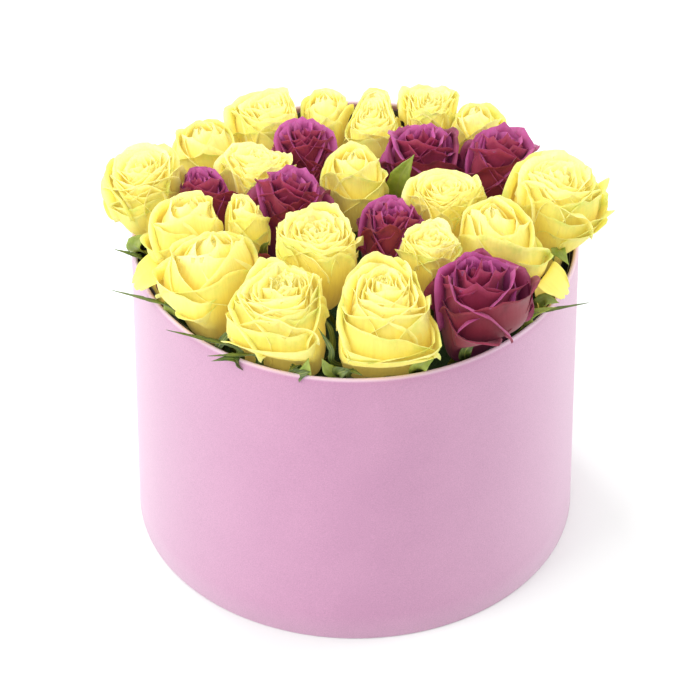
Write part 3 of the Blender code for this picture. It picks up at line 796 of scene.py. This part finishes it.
# %% Loose petals over the rim
def fallen_petal(head, petal):
    """A loose petal: its path over the rim, swept round the box, waved and curled at its lip."""
    v = np.linspace(0.02, 1.0, FALLEN_GRID[1])
    u = np.linspace(-1.0, 1.0, FALLEN_GRID[0])[:, None]
    lip = 1 - 0.10 * np.abs(u) ** 2.5 + 0.012 * np.sin(9 * u) + 0.010 * np.sin(17 * u + 1)
    start = head.neck + head.axis * 4 * MM
    path = np.stack([draped_path(start, petal, v * reach) for reach in lip[:, 0]])
    half = petal.half * MM * (0.30 + 0.70 * np.sin(0.5 * math.pi * v)) * np.sqrt(1 - 0.6 * v ** 8)
    turn = u * half / np.hypot(path[..., 0], path[..., 1])
    x = path[..., 0] * np.cos(turn) - path[..., 1] * np.sin(turn)
    y = path[..., 0] * np.sin(turn) + path[..., 1] * np.cos(turn)
    over = np.clip((v - 0.55) / 0.45, 0.0, 1.0)
    z = path[..., 2] + over * (2.0 * MM * u ** 2 + 0.8 * MM * np.sin(4 * u + 2))
    return np.stack([x, y, z], axis=-1), u, v


# %% [markdown]
# ## Petal finishes
# A petal is thin and lets light through, which the shader's scattering under the surface gives.
# The petals also glow a little of themselves, warm yellow on yellow roses: a painted glow for
# the light that passes through them. We mix three tones along the petal with the stored value
# `tip`; the deeper roots and the darker outsides, most of all on plum petals, are partly the
# rose's own colour and partly painted shade of the folds and lower sides. We turn the
# outermost petals greenish or brownish with `age`, and give each petal a slightly different
# `tone`. Fine veins run from root to lip: a noise that is stretched along the petal. Old lips
# get patches of green, or of brown on plum petals, with small flecks in them.


# %% Petal finish
def petal_finish(name, inside, outside, old, edge, fleck, glow, glow_colour, painted_glow, painted_glow_colour):
    """inside, outside and old each give the colours of root, middle and lip."""
    finish = Finish(name, inside[1], 0.55)
    tip = finish.value("tip")
    tone = finish.value("tone")
    side = finish.value("side")
    # Deeper roots and darker outsides are partly own colour, partly painted shade of the folds.
    faces = [finish.ramp(tip, list(zip((0.40, 0.78, 0.97), colours)))
             for colours in (inside, outside, old)]
    colour = finish.mix(finish.value("outside"), faces[0], faces[1])
    old_share = finish.fade(finish.value("age"), 0.72, 1.0, 0.85)
    colour = finish.mix(old_share, colour, faces[2])
    spread = finish.node("CombineXYZ")
    finish.join(finish.maths("MULTIPLY", side, 14.0), spread.inputs["X"])
    finish.join(finish.maths("MULTIPLY", tip, 2.2), spread.inputs["Y"])
    finish.join(finish.maths("MULTIPLY", tone, 40.0), spread.inputs["Z"])
    veins = finish.noise(1.6, 4.0, spread.outputs["Vector"], 0.65)
    shade = finish.ramp(veins, [(0.35, (0.90, 0.87, 0.80)), (0.65, (1.0, 1.0, 1.0))])
    colour = finish.mix(0.8, colour, shade, "MULTIPLY")
    own_tone = finish.ramp(tone, [(0.0, (0.93, 0.90, 0.82)), (1.0, (1.0, 1.0, 1.0))])
    colour = finish.mix(1.0, colour, own_tone, "MULTIPLY")
    patches = finish.noise(90.0, 4.0, finish.place(), 0.6)
    near_lip = finish.fade(tip, 0.80, 1.0)
    patchy = finish.fade(patches, 0.45, 0.62)
    edge_share = finish.maths("MULTIPLY", near_lip, patchy)
    edge_share = finish.maths("MULTIPLY", edge_share, finish.maths("ADD", old_share, 0.12))
    colour = finish.mix(edge_share, colour, edge)
    dots = finish.noise(700.0, 2.0, finish.place(), 0.5)
    dot_share = finish.fade(dots, 0.68, 0.74, 0.7)
    colour = finish.mix(finish.maths("MULTIPLY", dot_share, edge_share), colour, fleck)
    finish.join(colour, finish.shader.inputs["Base Color"])
    finish.bump(veins, 0.35, 0.0004)
    finish.set("Subsurface Weight", glow)
    finish.set("Subsurface Radius", glow_colour)
    finish.set("Subsurface Scale", 0.002)
    # Painted glow: the petals give off a little light of their own, for light passing through them.
    finish.set("Emission Color", (*painted_glow_colour, 1.0))
    finish.set("Emission Strength", painted_glow)
    finish.set("Specular IOR Level", 0.3)
    finish.set("Sheen Weight", 0.1)
    return finish


yellow = petal_finish(
    "yellow petals",
    inside=(linear(252, 204, 60), linear(254, 232, 100), linear(255, 249, 168)),
    outside=(linear(244, 200, 74), linear(252, 232, 110), linear(255, 249, 170)),
    old=(linear(226, 204, 80), linear(238, 222, 106), linear(238, 234, 134)),
    edge=linear(196, 210, 104), fleck=linear(226, 120, 110),
    glow=0.25, glow_colour=(1.0, 0.80, 0.3), painted_glow=0.12, painted_glow_colour=(1.0, 0.78, 0.20))
plum = petal_finish(
    "plum petals",
    inside=(linear(84, 10, 38), linear(136, 34, 90), linear(184, 84, 152)),
    outside=(linear(86, 16, 30), linear(128, 30, 56), linear(156, 54, 86)),
    old=(linear(98, 26, 38), linear(132, 40, 54), linear(142, 48, 64)),
    edge=linear(96, 26, 34), fleck=linear(60, 16, 24),
    glow=0.10, glow_colour=(1.0, 0.2, 0.5), painted_glow=0.02, painted_glow_colour=(0.8, 0.1, 0.4))

# %% [markdown]
# ## Heads
# In a rose each new petal stands about 137.5 degrees round from the last, so no two stand
# behind each other. We count from the outermost petal inwards, as the CAD did, with the
# outermost facing the same way, and use 14 to 38 petals where the CAD has five or six. The
# heart is a few small petals wound into a scroll. Guard petals hang loose round the head: two
# numbers place each, its angle in radians from straight out of the box, and how far it has
# fallen open, from 0 to 1. One piece holds each head.

# %% Build the heads
PETAL_THICKNESS = 0.38 * MM
HEAD_SEED = 100
FINE_AGE = 0.75
RIM_ROSE = 85
RIM_GUARDS = ((-1.1, 0.30), (-0.4, 0.62), (0.3, 0.45), (1.0, 0.60))
INNER_GUARDS = ((0.4, 0.25), (2.4, 0.45), (4.5, 0.35))
OWN_GUARDS = {
    11: ((0.9, 0.40), (1.5, 0.30), (-0.8, 0.30)),
    16: ((-1.3, 0.30), (-0.5, 0.50), (0.3, 0.40)),
    18: ((0.9, 0.30), (1.6, 0.50)),
    22: ((-0.9, 0.40), (1.3, 0.30)),
    23: ((1.3, 0.45), (0.2, 0.30)),
    24: ((1.2, 0.45), (0.4, 0.30)),
    25: ((-0.9, 0.50), (1.1, 0.45), (0.3, 0.55)),
    26: ((-1.3, 0.35), (0.5, 0.70), (1.3, 0.45)),
}
SCROLL_GRID = (49, 7)


def heart_scroll(head, start):
    """A strip wound twice round the axis: radius grows with the turn, height falls a little."""
    u = np.linspace(0.0, 1.0, SCROLL_GRID[0])[:, None]
    v = np.linspace(0.0, 1.0, SCROLL_GRID[1])[None, :]
    turn = start + u * 4.4 * math.pi
    out = head.radius * (0.012 + 0.10 * u) * (1 - 0.25 * v ** 2)
    rise = head.length * (0.45 + 0.56 * v) * (1 - 0.02 * u)
    points = head.world(out * np.cos(turn), out * np.sin(turn), rise)
    return head.squeeze(points), u * 2 - 1, v


def build_head(head):
    rose = head.rose
    form = FORMS[rose.form]
    draw = np.random.default_rng(HEAD_SEED + rose.number)
    sheaf = Sheaf()
    start = math.radians(rose.turn) - math.radians(rose.towards)

    def take(surface, age, tone, tip_share=1.0):
        grid, side, tip = surface
        sheaf.add(grid, PETAL_THICKNESS, side=side, tip=tip * tip_share, age=age, tone=tone)

    for k in range(form.petals):
        age = (1.0 - k / form.petals) ** form.crowd
        facing = start + k * GOLDEN_TURN + 0.08 * draw.normal()
        size = OUTER_GRID if age > FINE_AGE else INNER_GRID
        lift = 0.02 * draw.normal() * (0.4 + age + form.frill * (1 - age))
        surface = petal_surface(head, form, age, facing, draw, *size, lift=lift)
        take(surface, age, draw.random())
    outwards = math.atan2(rose.y, rose.x) - math.radians(rose.towards)
    at_rim = math.hypot(rose.x, rose.y) > RIM_ROSE
    guards = OWN_GUARDS.get(rose.number, RIM_GUARDS if at_rim else INNER_GUARDS)
    for offset, fallen in guards:
        facing = outwards + offset + 0.15 * draw.normal()
        surface = petal_surface(head, form, 1.0, facing, draw, *OUTER_GRID, fallen=fallen)
        take(surface, 1.0, draw.random())
    for petal in FALLEN_PETALS:
        if petal.rose == rose.number:
            take(fallen_petal(head, petal), 0.97, 1.0, 0.9)
    for petal in STRAY_PETALS:
        if petal.rose == rose.number:
            take(stray_petal(petal), 0.9, 0.8, 0.9)
    take(heart_scroll(head, start), 0.0, draw.random())
    finish = yellow if rose.colour == "yellow" else plum
    piece = sheaf.piece(f"rose_head_{rose.number:02d}", finish.material)
    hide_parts(f"rose_{rose.number:02d}")
    return piece


rose_heads = [build_head(head) for head in heads]
face_count = sum(len(piece.data.polygons) for piece in rose_heads)
print("rose heads:", len(rose_heads), "pieces,", 2 * face_count, "triangles")

# %% [markdown]
# ## Leaf finish
# Sepals and leaves share one finish: dark green, lighter at the midrib, with side veins that
# leave the midrib at a slant. The stored `tone` runs from the darkest sepal at 0 to a young
# yellow-green leaf at 1.

# %% Leaf finish
leaf = Finish("green leaf", linear(72, 98, 40), 0.5)
leaf_side = leaf.value("side")
leaf_tip = leaf.value("tip")
blotch = leaf.noise(150.0, 5.0, leaf.place(), 0.6)
dark_green = leaf.ramp(blotch, [(0.3, linear(44, 66, 34)), (0.7, linear(92, 108, 50))])
young_green = leaf.ramp(blotch, [(0.3, linear(128, 148, 48)), (0.7, linear(178, 190, 84))])
green = leaf.mix(leaf.value("tone"), dark_green, young_green)
from_rib = leaf.maths("ABSOLUTE", leaf_side)
slant = leaf.maths("SUBTRACT", leaf.maths("MULTIPLY", leaf_tip, 16.0),
                   leaf.maths("MULTIPLY", from_rib, 4.0))
side_veins = leaf.maths("POWER", leaf.maths("ABSOLUTE", leaf.maths("SINE", slant)), 6.0)
rib = leaf.ramp(from_rib, [(0.04, (1, 1, 1)), (0.14, (0, 0, 0))])
lines = leaf.mix(0.25, rib, leaf.fade(side_veins, 0.0, 1.0))
green = leaf.mix(lines, green, linear(150, 160, 84))
leaf.join(green, leaf.shader.inputs["Base Color"])
leaf.bump(blotch, 0.3, 0.0005)
leaf.set("Subsurface Weight", 0.15)
leaf.set("Subsurface Radius", (0.5, 1.0, 0.2))
leaf.set("Subsurface Scale", 0.002)

# %% [markdown]
# ## Stems, hips and sepals
# A cut rose has a straight stem, a swollen green hip under the petals and five narrow sepals
# that hang from it. Some sepals here are long: they climb the inside of the box and lie over
# its rim, as in the photo. The CAD has them with few faces; the twins follow the same paths,
# with a fold along the midrib and small teeth, and the stem becomes a tube of rings.

# %% Stem values
GAP = 0.3 * MM
STEM_RADIUS = 2.5 * MM
STEM_SIDES = 12
HIP_RADIUS = 5 * MM
HIP_LENGTH = 9 * MM
DEPTH_IN_FOAM = 34 * MM
SEPAL_THICKNESS = 0.5 * MM
FOAM_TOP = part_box("foam_block")[1][2]

LongSepal = namedtuple("LongSepal", "rose climbs tip half")

LONG_SEPALS = [LongSepal(*row) for row in (
    (23, 214, (-134, -55, 6), 2.6),
    (24, 238, (-103, -88, 5), 3.2),
    (24, 244, (-80, -109, 4), 2.8),
    (26, 322, (128, -66, 6), 2.6),
    (25, 255, (-36, -122, 4), 3.0),
    (25, 268, (4, -124, 3), 3.0),
    (11, 192, (-133, -22, 8), 2.8),
)]


# %% Leaf blades
def leaf_blade(path, faces_to, half, columns, fold):
    """Blade along a path: it faces the given way and is folded up along its midrib."""
    side = unit(np.cross(np.gradient(path, axis=0), faces_to))
    face = unit(np.cross(side, np.gradient(path, axis=0)))
    u = np.linspace(-1.0, 1.0, columns)[:, None, None]
    return path[None] + (u * side + fold * np.abs(u) ** 1.5 * face) * half[None, :, None]


def toothed(v, teeth, depth):
    """Width of a blade along its length: small forward-pointing teeth on a smooth edge."""
    saw = (v * teeth) % 1.0
    return 1 - depth * saw ** 2


# %% Stems
STEM_SEED = 300
SEPAL_GRID = (7, 21)
LONG_GRID = (7, 61)
TUBE_ROWS = 14
HIP_ROWS = 9


def stem_tube(head):
    """Rings of points from the foot of the stem, in the foam, up over the hip to the neck."""
    bottom = -((head.neck[2] - FOAM_TOP) / head.axis[2] + DEPTH_IN_FOAM)
    swell = np.linspace(0.0, 1.0, HIP_ROWS)
    straight = np.linspace(bottom, -HIP_LENGTH - 3 * MM, TUBE_ROWS)
    hip = STEM_RADIUS + (HIP_RADIUS - STEM_RADIUS) * np.sin(0.62 * math.pi * swell) ** 1.6
    heights = np.concatenate([straight, -HIP_LENGTH + HIP_LENGTH * swell - GAP])
    radii = np.concatenate([np.full(len(straight), STEM_RADIUS), hip])
    angle = np.linspace(0.0, math.tau, STEM_SIDES, endpoint=False)
    out = radii[None, :] + 0.05 * MM * np.sin(angle * 3)[:, None]
    return head.world(out * np.cos(angle)[:, None], out * np.sin(angle)[:, None],
                      heights[None, :] + 0 * out)


def add_tube(sheaf, grid, **values):
    """Adds a tube of rings, closed at both ends with quads, to a sheaf."""
    sides, rings = grid.shape[:2]
    index = np.arange(sides * rings).reshape(sides, rings)
    onward = np.roll(index, -1, axis=0)
    around = np.stack([index[:, :-1], onward[:, :-1], onward[:, 1:], index[:, 1:]], axis=-1)
    faces = [around.reshape(-1, 4)]
    for ring, order in ((index[:, 0], -1), (index[:, -1], 1)):
        caps = [(ring[i], ring[i + 1], ring[-i - 2], ring[-i - 1]) for i in range(sides // 2 - 1)]
        faces.append(np.array(caps)[:, ::order])
    sheaf.add_faces(grid, np.concatenate(faces), **values)


def hanging_sepal(head, facing, length):
    """A narrow sepal that leaves the hip sideways and hangs down beside the stem."""
    v = np.linspace(0.0, 1.0, SEPAL_GRID[1])
    out = HIP_RADIUS * 0.55 + length * (0.62 * v - 0.12 * v * v)
    up = -HIP_LENGTH * 0.40 - GAP - length * 0.75 * v * v
    path = head.world(out * math.cos(facing), out * math.sin(facing), up)
    outwards = math.cos(facing) * head.first + math.sin(facing) * head.second
    half = 3.4 * MM * (1 - v ** 1.5) * (0.7 + 0.6 * v) * toothed(v, 4, 0.3) + 0.2 * MM
    points = leaf_blade(path, outwards + 0.6 * head.axis, half, SEPAL_GRID[0], -0.35)
    return head.squeeze(points, 16 * MM), v


def long_sepal(head, sepal):
    """A long sepal: upright against the wall, lying flat past the rim."""
    v = np.linspace(0.0, 1.0, LONG_GRID[1])
    hip = head.neck - head.axis * (HIP_LENGTH * 0.5 + GAP)
    path, outwards = over_rim_path(hip, sepal.climbs, sepal.tip, v)
    lying = np.clip((v - 0.60) / 0.2, 0.0, 1.0)[:, None]
    faces_to = (0.5 * UP - outwards) * (1 - lying) + UP * lying
    half = sepal.half * MM * (0.25 + 0.75 * np.sin(math.pi * v ** 1.3)) * (1 - 0.94 * v ** 8)
    half = half * toothed(v, 11, 0.28)
    return leaf_blade(path, faces_to, half, LONG_GRID[0], 0.30), v


def build_stem(head):
    number = head.rose.number
    draw = np.random.default_rng(STEM_SEED + number)
    sheaf = Sheaf()
    add_tube(sheaf, stem_tube(head), side=0.5, tip=0.5, tone=0.12)
    start = draw.random() * math.tau
    columns = np.linspace(-1.0, 1.0, SEPAL_GRID[0])[:, None]

    def take(blade, tone):
        grid, v = blade
        sheaf.add(grid, SEPAL_THICKNESS, side=columns, tip=v[None, :], tone=tone)

    for k in range(5):
        facing = start + k * math.tau / 5
        take(hanging_sepal(head, facing, draw.uniform(15, 22) * MM), 0.15)
    for sepal in LONG_SEPALS:
        if sepal.rose == number:
            take(long_sepal(head, sepal), 0.05)
    for leaf_row in LOOSE_LEAVES:
        if leaf_row.rose == number:
            take(loose_leaf(leaf_row), leaf_row.tone)
    piece = sheaf.piece(f"rose_stem_{number:02d}", leaf.material)
    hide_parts(f"stem_{number:02d}")
    return piece


# %% [markdown]
# ## Small leaves between the heads
# Between the heads and along the rim the photo shows short sepals and leaves that stand up,
# curl over or lie on the film. Each one grows from the hip of the nearest rose. Its path is a
# short list of given places, in millimetres from the middle of the rim.

# %% Small leaves
LooseLeaf = namedtuple("LooseLeaf", "rose path half tone faces")

LOOSE_LEAVES = [LooseLeaf(*row) for row in (
    (8, [(34, 38, -16), (24, 24, 4), (25, 23, 22), (33, 26, 37)], 7.0, 0.8, (-0.2, -1, 0.5)),
    (23, [(-74, -64, -24), (-76, -93, -6), (-70, -95, 6), (-65, -96, 11)], 2.4, 0.1, (-0.4, -0.8, 0.6)),
    (23, [(-72, -62, -24), (-66, -92, -4), (-62, -97, 10), (-66, -99, 17)], 2.0, 0.1, (0.2, -0.9, 0.5)),
    (23, [(-80, -58, -26), (-97, -62, -14), (-101, -66, 0), (-103, -66, 12)], 4.5, 0.75, (-0.5, -0.8, 0.4)),
    (24, [(-40, -90, -26), (-60, -106, -8), (-66, -109, 2), (-78, -111, 2)], 2.6, 0.0, (0, -0.3, 1)),
    (24, [(-34, -88, -26), (-30, -110, -12), (-27, -118.5, 0), (-25, -120, 12)], 4.5, 0.95, (-0.2, -1, 0.4)),
    (24, [(-38, -88, -26), (-34, -112, -10), (-31, -119, -1), (-24, -121, 3)], 4.5, 0.08, (0.0, -0.8, 0.7)),
    (25, [(14, -90, -24), (-6, -110, -10), (-9, -119, 0), (-2, -121, 5)], 5.0, 0.08, (0.0, -0.8, 0.7)),
    (25, [(16, -92, -24), (-4, -112, -8), (-14, -118.5, 2), (-18, -120, 12)], 4.0, 0.65, (0.1, -0.8, 0.6)),
    (25, [(20, -90, -20), (-10, -111, 0), (-13, -117, 16), (-20, -116, 30)], 1.8, 0.05, (0.2, -1.0, 0.3)),
    (25, [(30, -90, -24), (33, -108, -8), (35, -116, 3), (46, -113, 12)], 5.0, 0.9, (0.2, -1.0, 0.6)),
    (26, [(62, -84, -24), (60, -98, -8), (60, -103, 3), (67, -102, 11)], 3.6, 0.1, (0.2, -1.0, 0.5)),
    (24, [(-30, -84, -24), (-14, -100, -4), (-13, -96, 10), (-19, -88, 17)], 1.8, 0.1, (0.5, -0.9, 0.3)),
    (26, [(74, -80, -22), (92, -76, -6), (96, -74, 4), (110, -72, 8)], 3.0, 0.9, (0.1, -0.6, 1)),
    (16, [(112, 14, -28), (112, -18, 0), (112, -28, 12), (118, -36, 8)], 5.0, 0.85, (0.3, -0.9, 0.6)),
    (11, [(-106, 18, -24), (-118, -12, -2), (-122, -20, 10), (-114, -18, 16)], 5.0, 0.8, (-0.4, -0.9, 0.5)),
    (22, [(84, -34, -20), (98, -58, -2), (104, -63, 6), (112, -64, 4)], 4.0, 0.6, (0.4, -0.8, 0.7)),
    (12, [(-86, 4, -18), (-101, -6, 8), (-106, -8, 22), (-110, -10, 28)], 3.4, 0.5, (-0.4, -0.9, 0.5)),
    (20, [(-20, -48, -12), (-48, -40, 8), (-50, -42, 24), (-47, -45, 32)], 2.6, 0.2, (-0.2, -0.9, 0.6)),
)]


def loose_leaf(blade):
    """A small leaf along its path: widest below the middle, pointed, with small teeth."""
    v = np.linspace(0.0, 1.0, SEPAL_GRID[1])
    path = hand_path(blade.path, v)
    half = blade.half * MM * (0.12 + 0.88 * np.sin(math.pi * v ** 1.25)) * (1 - 0.9 * v ** 8)
    half = half * toothed(v, 6, 0.15)
    return leaf_blade(path, np.array(blade.faces, dtype=float), half, SEPAL_GRID[0], 0.25), v


# %% Build the stems
stems = [build_stem(head) for head in heads]
face_count = sum(len(piece.data.polygons) for piece in stems)
print("stems:", len(stems), "pieces,", 2 * face_count, "triangles")

# %% [markdown]
# ## Table
# The box stands on a plain white table.

# %% Table
TABLE_HALF = 10.0
table_mesh = bpy.data.meshes.new("table")
table_corners = [(-TABLE_HALF, -TABLE_HALF, 0), (TABLE_HALF, -TABLE_HALF, 0),
                 (TABLE_HALF, TABLE_HALF, 0), (-TABLE_HALF, TABLE_HALF, 0)]
table_mesh.from_pydata(table_corners, [], [(0, 1, 2, 3)])
table = bpy.data.objects.new("table", table_mesh)
link(table)
table_finish = Finish("white table", (0.86, 0.91, 0.88), 0.6)
table.data.materials.append(table_finish.material)
